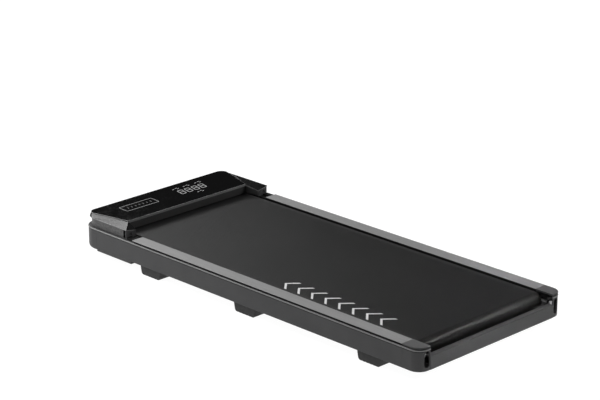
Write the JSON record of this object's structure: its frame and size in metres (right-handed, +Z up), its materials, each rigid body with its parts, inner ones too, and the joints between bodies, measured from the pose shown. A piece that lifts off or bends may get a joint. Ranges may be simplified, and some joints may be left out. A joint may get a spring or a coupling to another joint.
{
  "type": "under-desk treadmill",
  "caption": "Flat under-desk walking treadmill: low head with gloss display panel, side foot rails, looped walking belt on driven and tensioned rollers, rubber feet and transport wheels.",
  "frame": {"origin": "on the floor under the middle of the machine", "axes": "+Y towards the motor and display end, which the walker faces; +X to the walker's right; +Z up"},
  "size_m": [0.514, 1.2, 0.112],
  "materials": {
    "shell": "satin dark grey, fine moulded grain",
    "rail": "satin silver grey, fine lengthwise brushing",
    "band": "dark grey, coarse moulded texture",
    "head": "satin dark grey, slight metallic sheen on the facets",
    "panel": "high gloss black with lit white segments",
    "belt": "black PVC top with fine diamond weave texture",
    "deck": "fibreboard with a slick coating",
    "rubber": "matt black rubber",
    "frame": "black powder coat",
    "steel": "zinc plated and turned steel",
    "alloy": "cast and machined aluminium",
    "board": "green circuit board",
    "black": "black moulded plastic",
    "red": "red moulded plastic"
  },
  "bodies": {
    "frame": {"side_frame_left": "frame", "side_frame_right": "frame", "cross_tube_front": "frame", "cross_tube_middle": "frame", "cross_tube_rear": "frame", "front_cross_plate": "frame", "rear_cross_plate": "frame", "motor_tray": "frame", "deck_board": "deck", "deck_cushion_left": "rubber", "deck_cushion_right": "rubber", "walking_belt": "belt", "front_bearing_left": "black", "front_bearing_right": "black", "foot_rail_left": "rail", "foot_rail_right": "rail", "side_skirt_left": "shell", "side_skirt_right": "shell", "rear_cap_left": "shell", "rear_cap_right": "shell", "rear_crossbar": "shell", "front_shell": "shell", "belly_pan": "black", "head_cover": "head", "head_band": "band", "arm_plug_left": "shell", "arm_plug_right": "shell", "display_panel": "panel", "display_board": "board", "motor_body": "alloy", "motor_bracket": "frame", "drive_belt": "rubber", "motor_controller": "alloy", "motor_lead": "black", "power_inlet": "black", "switch_body": "black", "breaker_body": "black", "wheel_pin_left": "steel", "wheel_pin_right": "steel", "rubber_foot_front_left": "rubber", "rubber_foot_front_right": "rubber", "rubber_foot_middle_left": "rubber", "rubber_foot_middle_right": "rubber", "rubber_foot_rear_left": "rubber", "rubber_foot_rear_right": "rubber"},
    "drive_roller": {"drive_roller": "steel", "drive_shaft": "steel", "roller_pulley": "alloy"},
    "motor_rotor": {"motor_rotor": "steel"},
    "rear_axle": {"rear_axle": "steel"},
    "rear_roller": {"rear_roller": "steel", "rear_bearing_left": "alloy", "rear_bearing_right": "alloy"},
    "tension_bolt_left": {"tension_bolt_left": "steel"},
    "tension_bolt_right": {"tension_bolt_right": "steel"},
    "transport_wheel_left": {"transport_wheel_left": "rubber"},
    "transport_wheel_right": {"transport_wheel_right": "rubber"},
    "power_switch": {"power_switch": "red"},
    "breaker_button": {"breaker_button": "red"}
  },
  "joints": [
    {"name": "drive_roller_spin", "type": "hinge", "parent": "frame", "child": "drive_roller", "pos_m": [0, 0.492, 0.0592], "axis": [1, 0, 0], "continuous": true},
    {"name": "motor_spin", "type": "hinge", "parent": "frame", "child": "motor_rotor", "pos_m": [-0.15, 0.552, 0.066], "axis": [1, 0, 0], "continuous": true},
    {"name": "rear_axle_slacken", "type": "slide", "parent": "frame", "child": "rear_axle", "axis": [0, 1, 0], "range_m": [0, 0.004]},
    {"name": "rear_roller_spin", "type": "hinge", "parent": "rear_axle", "child": "rear_roller", "pos_m": [0, -0.548, 0.0592], "axis": [1, 0, 0], "continuous": true},
    {"name": "tension_bolt_left_turn", "type": "hinge", "parent": "frame", "child": "tension_bolt_left", "pos_m": [-0.226, -0.583, 0.0592], "axis": [0, 1, 0], "range_deg": [-1441, 0]},
    {"name": "tension_bolt_right_turn", "type": "hinge", "parent": "frame", "child": "tension_bolt_right", "pos_m": [0.226, -0.583, 0.0592], "axis": [0, 1, 0], "range_deg": [-1441, 0]},
    {"name": "transport_wheel_left_spin", "type": "hinge", "parent": "frame", "child": "transport_wheel_left", "pos_m": [-0.206, 0.573, 0.0335], "axis": [1, 0, 0], "continuous": true},
    {"name": "transport_wheel_right_spin", "type": "hinge", "parent": "frame", "child": "transport_wheel_right", "pos_m": [0.206, 0.573, 0.0335], "axis": [1, 0, 0], "continuous": true},
    {"name": "power_switch_rock", "type": "hinge", "parent": "frame", "child": "power_switch", "pos_m": [0.155, 0.5915, 0.055], "axis": [1, 0, 0], "range_deg": [0, 20]},
    {"name": "breaker_button_press", "type": "slide", "parent": "frame", "child": "breaker_button", "axis": [0, -1, 0], "range_m": [0, 0.0025], "stiffness_N_per_m": 800, "springref_m": -0.001}
  ],
  "couplings": [
    {"joint": "motor_spin", "follows": "drive_roller_spin", "ratio": 2.3636},
    {"joint": "rear_roller_spin", "follows": "drive_roller_spin", "ratio": 1},
    {"joint": "tension_bolt_left_turn", "follows": "rear_axle_slacken", "rad_per_m": -6283.2},
    {"joint": "tension_bolt_right_turn", "follows": "rear_axle_slacken", "rad_per_m": -6283.2}
  ]
}
